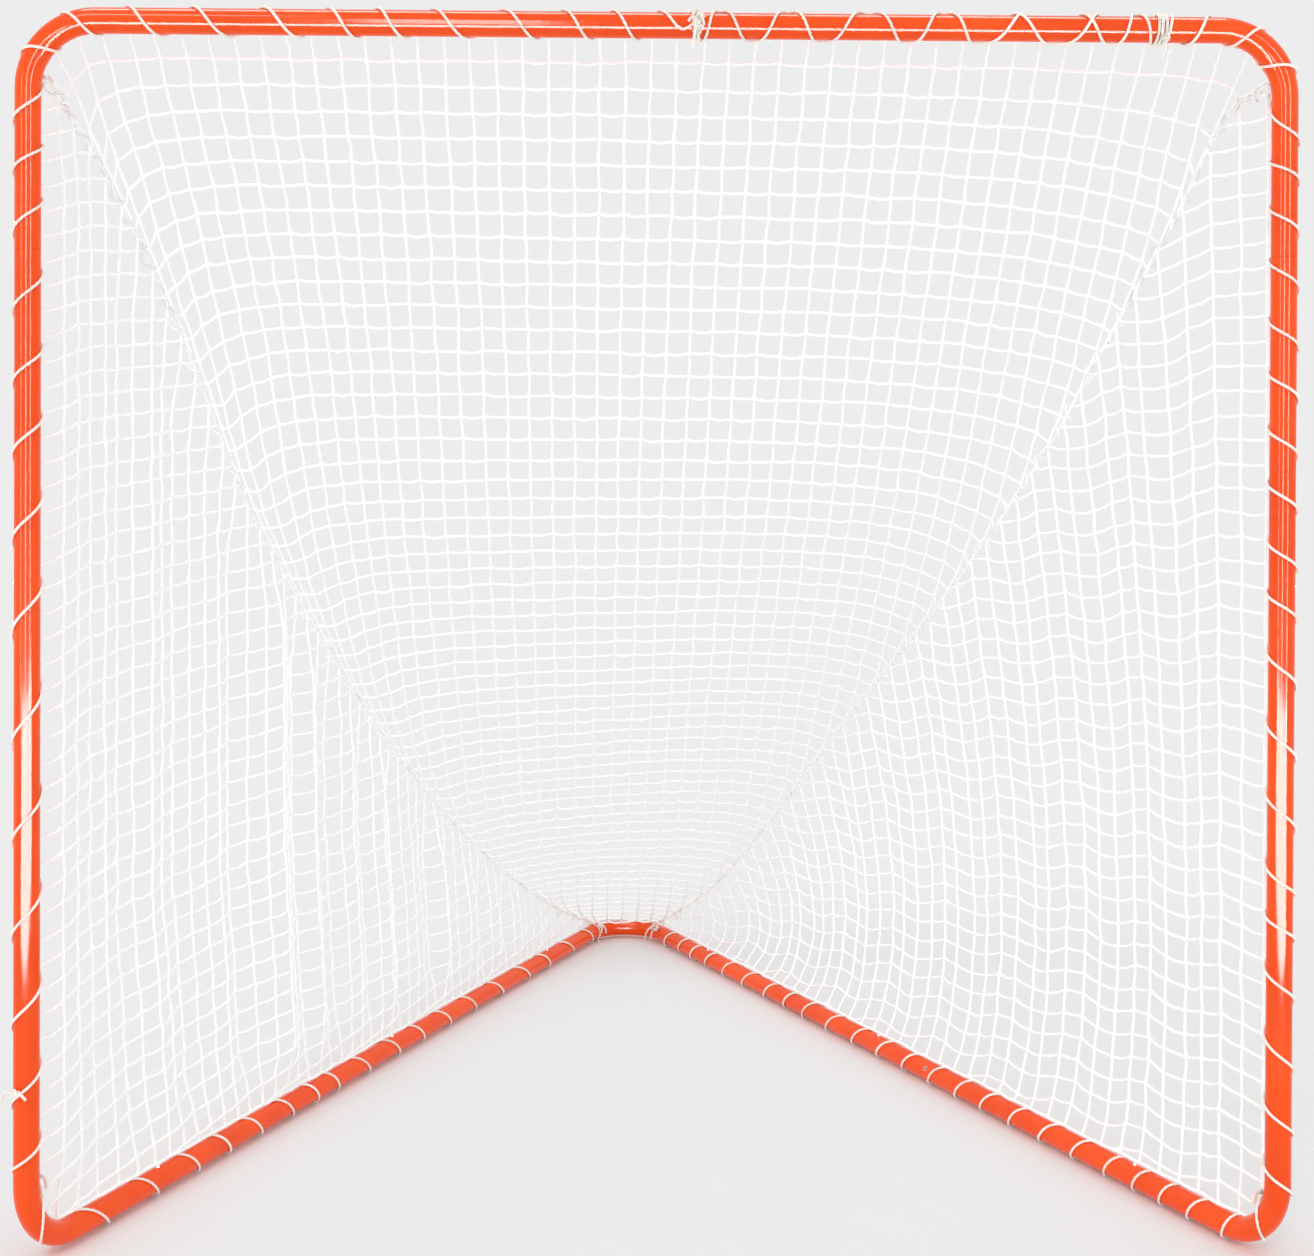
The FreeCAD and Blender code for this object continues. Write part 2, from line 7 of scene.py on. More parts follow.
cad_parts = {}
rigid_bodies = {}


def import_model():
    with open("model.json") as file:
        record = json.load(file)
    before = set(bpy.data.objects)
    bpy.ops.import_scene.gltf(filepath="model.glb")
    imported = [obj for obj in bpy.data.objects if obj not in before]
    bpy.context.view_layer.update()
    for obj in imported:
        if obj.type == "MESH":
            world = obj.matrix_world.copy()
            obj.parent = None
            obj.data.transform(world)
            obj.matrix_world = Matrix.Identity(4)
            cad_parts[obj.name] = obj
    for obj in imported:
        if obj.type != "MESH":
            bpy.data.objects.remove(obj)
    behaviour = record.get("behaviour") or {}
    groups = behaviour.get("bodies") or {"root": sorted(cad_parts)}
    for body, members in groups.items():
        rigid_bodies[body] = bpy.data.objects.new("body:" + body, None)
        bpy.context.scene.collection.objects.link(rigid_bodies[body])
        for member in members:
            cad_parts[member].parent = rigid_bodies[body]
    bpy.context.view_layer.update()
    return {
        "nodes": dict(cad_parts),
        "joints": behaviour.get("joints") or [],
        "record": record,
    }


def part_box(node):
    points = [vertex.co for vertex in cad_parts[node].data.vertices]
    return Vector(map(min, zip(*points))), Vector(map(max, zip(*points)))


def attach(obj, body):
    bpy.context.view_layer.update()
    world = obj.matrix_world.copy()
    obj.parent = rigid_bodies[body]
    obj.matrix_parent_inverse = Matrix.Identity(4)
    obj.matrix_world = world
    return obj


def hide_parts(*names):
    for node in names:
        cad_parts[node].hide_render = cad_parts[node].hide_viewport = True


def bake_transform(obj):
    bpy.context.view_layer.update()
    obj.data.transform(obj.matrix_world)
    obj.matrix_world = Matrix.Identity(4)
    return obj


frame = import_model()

sides = {"left": -1, "right": 1}
upwards = Vector((0, 0, 1))


# Camera, at the place from which the photo was taken

cameraSet = {
    "place": (-0.1078, -3.694, 1.1172),
    "turn": (math.pi / 2 - 0.00748, -0.00397, -0.01736),
    "lens": 48.78,
    "shift": (0.0304, -0.0737),
}


def makeCamera():
    bpy.ops.object.camera_add(location=cameraSet["place"], rotation=cameraSet["turn"])
    camera = bpy.context.object
    camera.name = "photo_camera"
    camera.data.sensor_width = 36
    camera.data.lens = cameraSet["lens"]
    camera.data.shift_x, camera.data.shift_y = cameraSet["shift"]
    camera.data.clip_end = 200
    bpy.context.scene.camera = camera


makeCamera()
print("camera placed")


# Where the tubes run, read off the frame

def measureTubes():
    postLow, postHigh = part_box("post_middle_left")
    rearLow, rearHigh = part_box("rear_elbow")
    cornerLow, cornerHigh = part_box("crossbar_corner_left")
    sideLow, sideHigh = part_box("net_side_left")
    radius = (postHigh.x - postLow.x) / 2
    tube = {
        "radius": radius,
        "bend": 0.1,  # radius of each bend, to the middle of the tube
        "postX": -(postHigh.x + postLow.x) / 2,
        "postY": (postHigh.y + postLow.y) / 2,
        "barZ": cornerHigh.z - radius,
        "legZ": rearLow.z + radius,
        "rearY": rearHigh.y - radius,
    }
    tube["netGap"] = sideLow.z - tube["legZ"]
    back = tube["rearY"] - tube["bend"] - tube["postY"]
    reach = math.hypot(tube["postX"], back)
    tube["angle"] = math.acos(tube["bend"] / reach) - math.atan2(back, tube["postX"])
    tube["legLength"] = math.sqrt(reach ** 2 - tube["bend"] ** 2)
    return tube


tube = measureTubes()
legSin, legCos = math.sin(tube["angle"]), math.cos(tube["angle"])


def legWay(side):
    return Vector((-side * legSin, legCos, 0))


def legOut(side):
    return Vector((side * legCos, legSin, 0))


def onLeg(side, reach, height, out=0.0):
    foot = Vector((side * tube["postX"], tube["postY"], height))
    return foot + legWay(side) * reach + legOut(side) * out


# One half of the frame is a line from the middle of the crossbar, over the corner, down
# the post, round the elbow and along the leg to the middle of the rear bend. Each of its
# stretches has a name, a length, where it starts or a bend's centre, the way on, the front
# side and the outer side of the tube there, and the angle that it turns by.

def stretches(side):
    bend, x, y = tube["bend"], tube["postX"], tube["postY"]
    top, low = tube["barZ"], tube["legZ"]
    out, way = Vector((side, 0, 0)), legWay(side)
    front = Vector((0, -1, 0))
    quarter = math.pi / 2
    rearTurn = math.pi / 2 - tube["angle"]
    centres = {
        "bar": Vector((0, y, top)),
        "corner": Vector((side * (x - bend), y, top - bend)),
        "post": Vector((side * x, y, top - bend)),
        "elbow": onLeg(side, bend, low + bend),
        "leg": onLeg(side, bend, low),
        "rear": Vector((0, tube["rearY"] - bend, low)),
    }
    return [
        ("bar", x - bend, centres["bar"], out, front, upwards, 0),
        ("corner", bend * quarter, centres["corner"], out, front, upwards, quarter),
        ("post", top - low - 2 * bend, centres["post"], -upwards, front, out, 0),
        ("elbow", bend * quarter, centres["elbow"], -upwards, -way, legOut(side), quarter),
        ("leg", tube["legLength"] - bend, centres["leg"], way, -upwards, legOut(side), 0),
        ("rear", bend * rearTurn, centres["rear"], way, -upwards, legOut(side), rearTurn),
    ]


halves = {side: stretches(side) for side in (-1, 1)}
starts = {}
runSoFar = 0.0
for stretchName, stretchLength, *rest in halves[1]:
    starts[stretchName] = runSoFar
    runSoFar += stretchLength
starts["end"] = runSoFar


def alongTube(side, run):
    for name, length, start, way, front, outer, turn in halves[side]:
        if run <= starts[name] + length or name == "rear":
            break
    part = max(0.0, min(1.0, (run - starts[name]) / length))
    if name == "post":  # the front side turns by the leg's angle on the way down
        spin = part * tube["angle"]
        frontNow = Vector((side * math.sin(spin), -math.cos(spin), 0))
        outerNow = Vector((side * math.cos(spin), math.sin(spin), 0))
        return start + way * (run - starts[name]), way, frontNow, outerNow
    if turn == 0:
        return start + way * (run - starts[name]), way, front, outer
    angle = part * turn
    if name == "elbow":  # the front side of the tube turns down
        reachOut = front * math.cos(angle) - upwards * math.sin(angle)
        wayNow = way * math.cos(angle) - front * math.sin(angle)
        return start + reachOut * tube["bend"], wayNow, reachOut, outer
    reachOut = outer * math.cos(angle) + way * math.sin(angle)
    wayNow = way * math.cos(angle) - outer * math.sin(angle)
    return start + reachOut * tube["bend"], wayNow, front, reachOut


def heightRun(height):
    return starts["post"] + tube["barZ"] - tube["bend"] - height


def reachRun(reach):
    return starts["leg"] + reach - tube["bend"]


# Small helpers for materials

def newMaterial(name):
    material = bpy.data.materials.new(name)
    material.use_nodes = True
    nodes, links = material.node_tree.nodes, material.node_tree.links
    return material, nodes, links, nodes["Principled BSDF"]


def addNoise(nodes, links, space, scale, detail=3.0, roughness=0.55):
    noise = nodes.new("ShaderNodeTexNoise")
    noise.inputs["Scale"].default_value = scale
    noise.inputs["Detail"].default_value = detail
    noise.inputs["Roughness"].default_value = roughness
    links.new(space, noise.inputs["Vector"])
    return noise


def addRamp(nodes, links, value, stops):
    ramp = nodes.new("ShaderNodeValToRGB")
    links.new(value, ramp.inputs["Fac"])
    while len(ramp.color_ramp.elements) < len(stops):
        ramp.color_ramp.elements.new(0.5)
    for element, (place, colour) in zip(ramp.color_ramp.elements, stops):
        element.position = place
        element.color = (*colour, 1)
    return ramp


def addBump(nodes, links, heights, shader, strength, distance):
    bump = nodes.new("ShaderNodeBump")
    bump.inputs["Strength"].default_value = strength
    bump.inputs["Distance"].default_value = distance
    links.new(heights, bump.inputs["Height"])
    links.new(bump.outputs["Normal"], shader.inputs["Normal"])


def addRange(nodes, links, value, fromLow, fromHigh, toLow, toHigh):
    spread = nodes.new("ShaderNodeMapRange")
    links.new(value, spread.inputs["Value"])
    ends = {"From Min": fromLow, "From Max": fromHigh, "To Min": toLow, "To Max": toHigh}
    for name, number in ends.items():
        spread.inputs[name].default_value = number
    return spread


# Orange powder coat on the tubes

coatSet = {
    "orange": (0.95, 0.090, 0.006),
    "deep": (0.88, 0.074, 0.006),
    "scuff": (0.80, 0.14, 0.05),
    "scuffScale": 160,
    "scuffFrom": 0.68,  # the noise above which a scuff begins, and where it is full
    "scuffFull": 0.76,
    "scuffMost": 0.5,
    "cloudScale": 7,
    "rough": (0.08, 0.13),
    "peelScale": 900,
    "peelStrength": 0.05,
    "peelDepth": 0.0004,
    "gloss": 0.2,
    "coat": 0.1,
    "coatRough": 0.06,
}


def makeOrangeCoat():
    material, nodes, links, shader = newMaterial("orange_powder_coat")
    space = nodes.new("ShaderNodeTexCoord").outputs["Object"]
    clouds = addNoise(nodes, links, space, coatSet["cloudScale"], 4)
    tone = addRamp(nodes, links, clouds.outputs["Fac"], [(0.35, coatSet["deep"]), (0.65, coatSet["orange"])])
    marks = addNoise(nodes, links, space, coatSet["scuffScale"], 8, 0.7)
    worn = addRange(nodes, links, marks.outputs["Fac"], coatSet["scuffFrom"], coatSet["scuffFull"],
                    0.0, coatSet["scuffMost"])
    mix = nodes.new("ShaderNodeMix")
    mix.data_type = "RGBA"
    links.new(worn.outputs["Result"], mix.inputs["Factor"])
    links.new(tone.outputs["Color"], mix.inputs["A"])
    mix.inputs["B"].default_value = (*coatSet["scuff"], 1)
    links.new(mix.outputs["Result"], shader.inputs["Base Color"])
    rough = addRange(nodes, links, clouds.outputs["Fac"], 0.3, 0.7, *coatSet["rough"])
    links.new(rough.outputs["Result"], shader.inputs["Roughness"])
    peel = addNoise(nodes, links, space, coatSet["peelScale"], 2)
    addBump(nodes, links, peel.outputs["Fac"], shader, coatSet["peelStrength"], coatSet["peelDepth"])
    shader.inputs["Specular IOR Level"].default_value = coatSet["gloss"]
    shader.inputs["Coat Weight"].default_value = coatSet["coat"]
    shader.inputs["Coat Roughness"].default_value = coatSet["coatRough"]
    return material


# Bare and plated steel of the buttons, leaf springs and eyelet

steelSet = {
    "button": {"bright": (0.78, 0.78, 0.79), "dull": (0.58, 0.58, 0.6), "rough": (0.18, 0.34), "grain": 700},
    "spring": {"bright": (0.46, 0.47, 0.5), "dull": (0.3, 0.3, 0.33), "rough": (0.3, 0.5), "grain": 400},
    "eyelet": {"bright": (0.85, 0.85, 0.85), "dull": (0.66, 0.66, 0.67), "rough": (0.14, 0.3), "grain": 900},
    "bump": 0.1,
    "bumpDepth": 0.0002,
}


def makeSteel(kind):
    look = steelSet[kind]
    material, nodes, links, shader = newMaterial(kind + "_steel_finish")
    space = nodes.new("ShaderNodeTexCoord").outputs["Object"]
    grain = addNoise(nodes, links, space, look["grain"], 5, 0.65)
    tone = addRamp(nodes, links, grain.outputs["Fac"], [(0.3, look["dull"]), (0.6, look["bright"])])
    links.new(tone.outputs["Color"], shader.inputs["Base Color"])
    rough = addRange(nodes, links, grain.outputs["Fac"], 0.3, 0.7, *look["rough"])
    links.new(rough.outputs["Result"], shader.inputs["Roughness"])
    addBump(nodes, links, grain.outputs["Fac"], shader, steelSet["bump"], steelSet["bumpDepth"])
    shader.inputs["Metallic"].default_value = 1.0
    return material


# Cord and twine. The fibres are a fine noise over each strand.

cordSet = {
    "lacing": {
        "light": (0.92, 0.88, 0.80),
        "dark": (0.62, 0.57, 0.50),
        "fibre": 1500,
        "cloud": 35,
        "bump": 0.5,
    },
    "seam": {
        "light": (0.97, 0.96, 0.94),
        "dark": (0.86, 0.84, 0.81),
        "fibre": 1500,
        "cloud": 30,
        "bump": 0.35,
    },
    "twine": {
        "light": (0.965, 0.98, 0.975),
        "dark": (0.925, 0.94, 0.935),
        "fibre": 1800,
        "cloud": 12,
        "bump": 0.2,
    },
    "fibreShare": 0.55,  # how much of the tone the fine streaks set, and how much the clouds
    "cloudShare": 0.45,
    "bumpDepth": 0.0005,
    "rough": 0.85,
    "sheen": 0.2,
}


def makeCordLook(kind):
    look = cordSet[kind]
    material, nodes, links, shader = newMaterial(kind + "_fibre")
    space = nodes.new("ShaderNodeTexCoord").outputs["Object"]
    fibre = addNoise(nodes, links, space, look["fibre"], 3, 0.7)
    cloud = addNoise(nodes, links, space, look["cloud"], 3)
    blend = nodes.new("ShaderNodeMath")
    blend.operation = "MULTIPLY_ADD"
    blend.inputs[1].default_value = cordSet["fibreShare"]
    links.new(fibre.outputs["Fac"], blend.inputs[0])
    clouded = nodes.new("ShaderNodeMath")
    clouded.operation = "MULTIPLY"
    clouded.inputs[1].default_value = cordSet["cloudShare"]
    links.new(cloud.outputs["Fac"], clouded.inputs[0])
    links.new(clouded.outputs["Value"], blend.inputs[2])
    tone = addRamp(nodes, links, blend.outputs["Value"], [(0.3, look["dark"]), (0.52, look["light"])])
    links.new(tone.outputs["Color"], shader.inputs["Base Color"])
    addBump(nodes, links, fibre.outputs["Fac"], shader, look["bump"], cordSet["bumpDepth"])
    shader.inputs["Roughness"].default_value = cordSet["rough"]
    shader.inputs["Sheen Weight"].default_value = cordSet["sheen"]
    return material


def dressSolids():
    looks = {
        "orange_tube": makeOrangeCoat(),
        "button_steel": makeSteel("button"),
        "spring_steel": makeSteel("spring"),
        "eyelet_steel": makeSteel("eyelet"),
    }
    for part in frame["record"]["subparts"]:
        if part["material_slot"] in looks:
            solid = frame["nodes"][part["node"]]
            for slot in solid.material_slots:
                slot.material = looks[part["material_slot"]]
            if not solid.material_slots:
                solid.data.materials.append(looks[part["material_slot"]])


# The leaf springs behind the buttons: each is copied into a still piece of its own, and its CAD node is
# hidden.


def bendSprings():
    for joint in frame["joints"]:
        body = joint["child"]
        node = body.replace("button_", "spring_")
        piece = bpy.data.objects.new("leaf_" + node, frame["nodes"][node].data.copy())
        bpy.context.scene.collection.objects.link(piece)
        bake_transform(piece)
        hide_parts(node)


dressSolids()
bendSprings()
lacingLook = makeCordLook("lacing")
seamLook = makeCordLook("seam")
twineLook = makeCordLook("twine")
print("frame finished in orange and steel")


# Cords. A strand is a curve with a three-lobed section that turns along it, so that the
# lay of the rope is real relief.

def ropeSection(name, radius, depth=0.2):
    count = 9  # points round the section, three to a lobe
    curve = bpy.data.curves.new(name, "CURVE")
    curve.dimensions = "2D"
    spline = curve.splines.new("POLY")
    spline.points.add(count - 1)
    for i in range(count):
        turn = -2 * math.pi * i / count  # this way round the swept surface faces outwards
        reach = radius * (1 - depth + depth * math.cos(3 * turn))
        spline.points[i].co = (reach * math.cos(turn), reach * math.sin(turn), 0, 1)
    spline.use_cyclic_u = True
    section = bpy.data.objects.new(name, curve)
    bpy.context.scene.collection.objects.link(section)
    return section


def clearSelection():
    for item in list(bpy.context.selected_objects):
        item.select_set(False)


def curveToPiece(curve, name, material):
    piece = bpy.data.objects.new(name, curve)
    bpy.context.scene.collection.objects.link(piece)
    clearSelection()
    piece.select_set(True)
    bpy.context.view_layer.objects.active = piece
    bpy.ops.object.convert(target="MESH")
    piece = bpy.context.object
    piece.name = name
    bpy.ops.object.shade_smooth()
    piece.data.materials.clear()
    piece.data.materials.append(material)
    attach(piece, "frame")
    piece.select_set(False)
    return piece


def resample(points, step):
    found = [points[0].copy()]
    left = step
    for a, b in zip(points, points[1:]):
        length = (b - a).length
        while length >= left and length > 0:
            a = a.lerp(b, left / length)
            length = (b - a).length
            found.append(a.copy())
            left = step
        left -= length
    found.append(points[-1].copy())
    return found


def addRope(curve, points, lay, step):
    points = resample(points, step)
    spline = curve.splines.new("POLY")
    spline.points.add(len(points) - 1)
    run = 0.0
    for i, point in enumerate(points):
        if i:
            run += (point - points[i - 1]).length
        spline.points[i].co = (*point, 1)
        spline.points[i].tilt = 2 * math.pi * run / lay


def newRopeCurve(name, section):
    curve = bpy.data.curves.new(name, "CURVE")
    curve.dimensions = "3D"
    curve.bevel_mode = "OBJECT"
    curve.bevel_object = section
    curve.use_fill_caps = True
    curve.twist_mode = "MINIMUM"
    return curve


def smoothThrough(points, parts):
    ends = [points[0] * 2 - points[1]] + points + [points[-1] * 2 - points[-2]]
    found = []
    for a, b, c, d in zip(ends, ends[1:], ends[2:], ends[3:]):
        for i in range(parts):
            t = i / parts
            first, second, third = c - a, 2 * a - 5 * b + 4 * c - d, 3 * b - a - 3 * c + d
            found.append(0.5 * (2 * b + first * t + second * t * t + third * t ** 3))
    found.append(points[-1].copy())
    return found


# The lacing. Each turn crosses the front of a post or the crossbar, or the foot of a leg,
# at the place read off the photo, in metres: from the middle of the crossbar, up the post
# from the ground, and along the leg from the post.

lacingSet = {
    "thick": 0.005,
    "lay": 0.013,
    "step": 0.003,
    "barTurns": {
        "left": [-0.018, 0.055, 0.126, 0.211, 0.315, 0.402, 0.472, 0.564, 0.668, 0.765, 0.858, 0.932],
        "right": [0.738, 0.7435, 0.749, 0.7545, 0.802, 0.876, 0.945],
    },
    "barStart": {  # before its turns the right cord goes to and fro over the bar: place and degrees
        "left": [(-0.052, -5)],
        "right": [(0.058, 385), (0.053, 205), (0.048, 10), (0.060, -112), (0.088, 98), (0.137, -112),
                  (0.190, 98), (0.241, -112), (0.309, 104), (0.368, -112), (0.422, 98), (0.474, -112),
                  (0.541, 97), (0.532, 140), (0.524, 97), (0.590, -112), (0.652, 95), (0.640, 150),
                  (0.626, 95), (0.674, -112), (0.708, 98), (0.733, -112)],
    },
    "joinAfter": 0.028,  # a cord ends half a turn on, this far past its last turn
    "drapeFrom": 0.025,  # a slack length lies along the top of the rear bend, from this far round it
    "drapeLift": 0.0008,
    "drapeHalf": 12,  # points on each half of it
    "postTurns": {
        "left": [1.716, 1.640, 1.554, 1.439, 1.332, 1.228, 1.103, 0.969, 0.807, 0.659, 0.516, 0.381,
                 0.262, 0.159],
        "right": [1.695, 1.635, 1.560, 1.478, 1.389, 1.312, 1.228, 1.146, 1.058, 0.983, 0.886, 0.777, 0.672,
                  0.570, 0.502, 0.414, 0.309, 0.212, 0.120],
    },
    "legTurns": {
        "left": [0.040, 0.192, 0.318, 0.431, 0.522, 0.624, 0.729, 0.815, 0.893, 1.020, 1.142, 1.250, 1.377,
                 1.503, 1.648, 1.796, 1.918, 2.072, 2.190, 2.225],
        "right": [0.034, 0.111, 0.188, 0.252, 0.318, 0.393, 0.482, 0.573, 0.663, 0.751, 0.834, 0.928, 1.022,
                  1.118, 1.218, 1.328, 1.430, 1.513, 1.610, 1.721, 1.822, 1.915, 1.995, 2.066, 2.151],
    },
}


def tubePoint(side, run, angle, lift=0.0):
    middle, way, front, outer = alongTube(side, run)
    reach = tube["radius"] + lacingSet["thick"] / 2 + lift
    spot = middle + (front * math.cos(angle) + outer * math.sin(angle)) * reach
    spot.z = max(spot.z, lacingSet["thick"] / 2)
    return spot


def windCord(side, stops):
    course = smoothThrough([Vector((run, angle, 0)) for run, angle in stops], 24)
    return [tubePoint(side, run, angle) for run, angle, _ in course]


def turnStops(runs):
    return [(run, 2 * math.pi * i) for i, run in enumerate(runs)]


def drapeLine():
    reach = starts["end"] - starts["rear"] - lacingSet["drapeFrom"]
    points = []
    half = lacingSet["drapeHalf"]
    for i in range(2 * half + 1):
        part = i / half - 1
        side = -1 if part < 0 else 1
        wander = math.pi * (1 + 0.06 * math.sin(7 * part))  # not quite along the very top
        run = starts["end"] - abs(part) * reach
        points.append(tubePoint(side, run, wander, lacingSet["drapeLift"]))
    return points


def endStop(stops):
    run, angle = stops[-1]
    return run + lacingSet["joinAfter"], angle + math.pi


def layLacing():
    section = ropeSection("lacing_section", lacingSet["thick"] / 2)
    ends = []
    for word, side in sides.items():
        bar = [(run, math.radians(degrees)) for run, degrees in lacingSet["barStart"][word]]
        bar += turnStops(lacingSet["barTurns"][word])
        bar.append(endStop(bar))
        post = turnStops([heightRun(height) for height in lacingSet["postTurns"][word]])
        post.append(endStop(post))
        post.insert(0, (bar[-1][0], -math.pi))  # each cord starts where the one before it ends
        leg = turnStops([reachRun(reach) for reach in lacingSet["legTurns"][word]])
        leg.insert(0, (post[-1][0], -math.pi))
        for name, stops in (("crossbar_", bar), ("post_", post), ("base_", leg)):
            curve = newRopeCurve("lacing_line_" + name + word, section)
            addRope(curve, windCord(side, stops), lacingSet["lay"], lacingSet["step"])
            if name == "base_" and side > 0:
                addRope(curve, drapeLine(), lacingSet["lay"], lacingSet["step"])
            piece = curveToPiece(curve, "cord_" + name + word, lacingLook)
            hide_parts("lacing_" + name + word)
            ends += [(side, *stops[0]), (side, *stops[-1])]
    return section, ends


lacingSection, knotSpots = layLacing()
print("lacing wound")


# Knots that tie off each cord: a small overhand knot with two tails.

knotSet = {
    "size": 0.0019,
    "tail": (0.012, 0.032),
    "lean": 0.5,
    "tailParts": 4,
    "seed": 5,
    "step": 0.0022,
    "lift": 0.0055,
    # more ties that show: side, run along the half frame, and angle round the tube
    "more": [(1, 0.742, 0.5), (1, 0.748, -0.7), (-1, 2.4706, 0.0), (1, 0.053, -0.5)],
    # ties on the rear bend: side, and run from where the bend starts
    "rear": [(-1, 0.020), (-1, 0.032), (1, 0.012), (1, -0.014)],
    "rearTurn": -2.3,
}


def overhand(size):
    count = 48
    points = []
    for i in range(count):
        t = 2 * math.pi * i / count
        across = math.sin(t) + 2 * math.sin(2 * t)
        along = math.cos(t) - 2 * math.cos(2 * t)
        points.append(Vector((across, along, -1.2 * math.sin(3 * t))) * size)
    return points


def liftToFloor(points):
    for point in points:
        point.z = max(point.z, lacingSet["thick"] / 2)
    return points


def tieKnots():
    draw = random.Random(knotSet["seed"])
    curve = newRopeCurve("knot_cords", lacingSection)
    loop = overhand(knotSet["size"])
    rearTies = [(side, starts["rear"] + run, knotSet["rearTurn"]) for side, run in knotSet["rear"]]
    for side, run, angle in knotSpots + knotSet["more"] + rearTies:
        middle, way, front, outer = alongTube(side, run)
        out = front * math.cos(angle) + outer * math.sin(angle)
        across = way.cross(out)
        seat = middle + out * (tube["radius"] + knotSet["lift"])
        turn = Matrix((way, across, out)).transposed()
        spots = liftToFloor([seat + turn @ point for point in loop])
        addRope(curve, spots + spots[:1], lacingSet["lay"], knotSet["step"])
        for sign in (-1, 1):
            length = draw.uniform(*knotSet["tail"])
            lean = draw.uniform(-knotSet["lean"], knotSet["lean"])
            start = seat + out * 0.002 + across * sign * 0.004
            tail = [start]
            for i in range(knotSet["tailParts"]):
                part = (i + 1) / knotSet["tailParts"]
                drift = across * sign * length * part * 0.6 + way * lean * length * part
                arch = out * 0.003 * math.sin(part * 3)
                tail.append(start + drift + arch - upwards * length * 0.7 * part ** 2)
            addRope(curve, smoothThrough(liftToFloor(tail), 4), lacingSet["lay"], knotSet["step"])
    piece = curveToPiece(curve, "cord_knots", lacingLook)
    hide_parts("lacing_knots")


tieKnots()
print("knots tied")


# Seams between the back panel and the side panels: reach along the leg and height.

seamSet = {
    "left": [(0.030, 1.770), (0.054, 1.763), (0.20, 1.635), (0.42, 1.370), (0.56, 1.165), (0.76, 0.958),
             (1.09, 0.660), (1.48, 0.388), (1.90, 0.168), (2.20, 0.052)],
    "right": [(0.030, 1.772), (0.107, 1.752), (0.14, 1.728), (0.24, 1.602), (0.36, 1.470), (0.58, 1.232),
              (0.82, 1.022), (1.22, 0.712), (1.65, 0.376), (1.91, 0.196), (2.20, 0.052)],
    "thick": 0.006,
    "lay": 0.016,
    "step": 0.004,
    "ropeStep": 0.0035,
    "wander": 0.0004,
    "whipThick": 0.003,
    "whipLay": 0.012,
    "whipPitch": 0.041,
    "whipReach": 0.0048,
    "tuftEvery": 0.21,
    "tuftFrom": 0.06,
    "tuftSize": 0.0022,
    "tuftTail": (0.015, 0.035),
    "seed": 11,
}


def seamHeight(side, reach):
    marks = seamSet["left" if side < 0 else "right"]
    reach = max(marks[0][0], min(marks[-1][0], reach))
    for i in range(len(marks) - 1):
        if reach <= marks[i + 1][0]:
            break
    slopes = []
    for j in (i, i + 1):
        a, b = marks[max(0, j - 1)], marks[min(len(marks) - 1, j + 1)]
        slopes.append((b[1] - a[1]) / (b[0] - a[0]))
    (u0, z0), (u1, z1) = marks[i], marks[i + 1]
    wide = u1 - u0
    t = (reach - u0) / wide
    return (z0 * (1 + 2 * t) * (1 - t) ** 2 + wide * slopes[0] * t * (1 - t) ** 2
            + z1 * t * t * (3 - 2 * t) + wide * slopes[1] * t * t * (t - 1))


def seamLine(side, count=90):
    first, last = seamSet["left"][0][0], seamSet["left"][-1][0]
    points = []
    for i in range(count + 1):
        reach = first + (last - first) * (i / count) ** 1.3
        points.append(onLeg(side, reach, seamHeight(side, reach)))
    return points


def acrossSeam(way):
    return way.cross(upwards).normalized()


def whipSeam(whip, line):
    coil = []
    for i, (a, b) in enumerate(zip(line, line[1:])):
        way = (b - a).normalized()
        level = acrossSeam(way)
        rise = level.cross(way)
        for part in (0, 0.5):
            turn = 2 * math.pi * (i + part) * seamSet["step"] / seamSet["whipPitch"]
            wide = seamSet["whipReach"] * (1.5 + 0.7 * math.sin(turn * 0.37))
            coil.append(a.lerp(b, part) + level * math.cos(turn) * wide + rise * math.sin(turn) * wide)
    addRope(whip, coil, seamSet["whipLay"], seamSet["ropeStep"])


def tieTufts(whip, line, side, draw):
    loop = overhand(seamSet["tuftSize"])
    run = seamSet["tuftFrom"]
    while run < len(line) * seamSet["step"] - 0.05:
        place = int(run / seamSet["step"])
        middle = line[place]
        way = (line[place + 1] - middle).normalized()
        level = acrossSeam(way)
        spots = [middle + way * p.x + level * (p.y - side * 0.004) + upwards * p.z for p in loop]
        addRope(whip, spots + spots[:1], seamSet["whipLay"], 0.002)
        length = draw.uniform(*seamSet["tuftTail"])
        tail = [
            middle,
            middle - level * side * length * 0.4 - upwards * length * 0.3,
            middle - level * side * length * 0.5 - upwards * length,
        ]
        addRope(whip, smoothThrough(tail, 5), seamSet["whipLay"], 0.003)
        run += seamSet["tuftEvery"] * draw.uniform(0.55, 1.45)


def sewSeams():
    draw = random.Random(seamSet["seed"])
    thick = ropeSection("seam_section", seamSet["thick"] / 2)
    thin = ropeSection("whip_section", seamSet["whipThick"] / 2, 0.1)
    for word, side in sides.items():
        line = resample(seamLine(side), seamSet["step"])
        for point in line:
            point.x += draw.uniform(-seamSet["wander"], seamSet["wander"])
        rope = newRopeCurve("seam_line_" + word, thick)
        addRope(rope, line, seamSet["lay"], seamSet["ropeStep"])
        main = curveToPiece(rope, "seam_rope_" + word, seamLook)
        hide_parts("seam_cord_" + word)
        whip = newRopeCurve("seam_whip_" + word, thin)
        whipSeam(whip, line)
        tieTufts(whip, line, side, draw)
        whipped = curveToPiece(whip, "seam_whipping_" + word, seamLook)
        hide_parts("seam_cord_" + word)


sewSeams()
print("seams sewn")


# The net. Each panel is a lattice of columns and rows; a panel function turns a place in
# the lattice into a point, and says how far inside the panel's edges it lies.

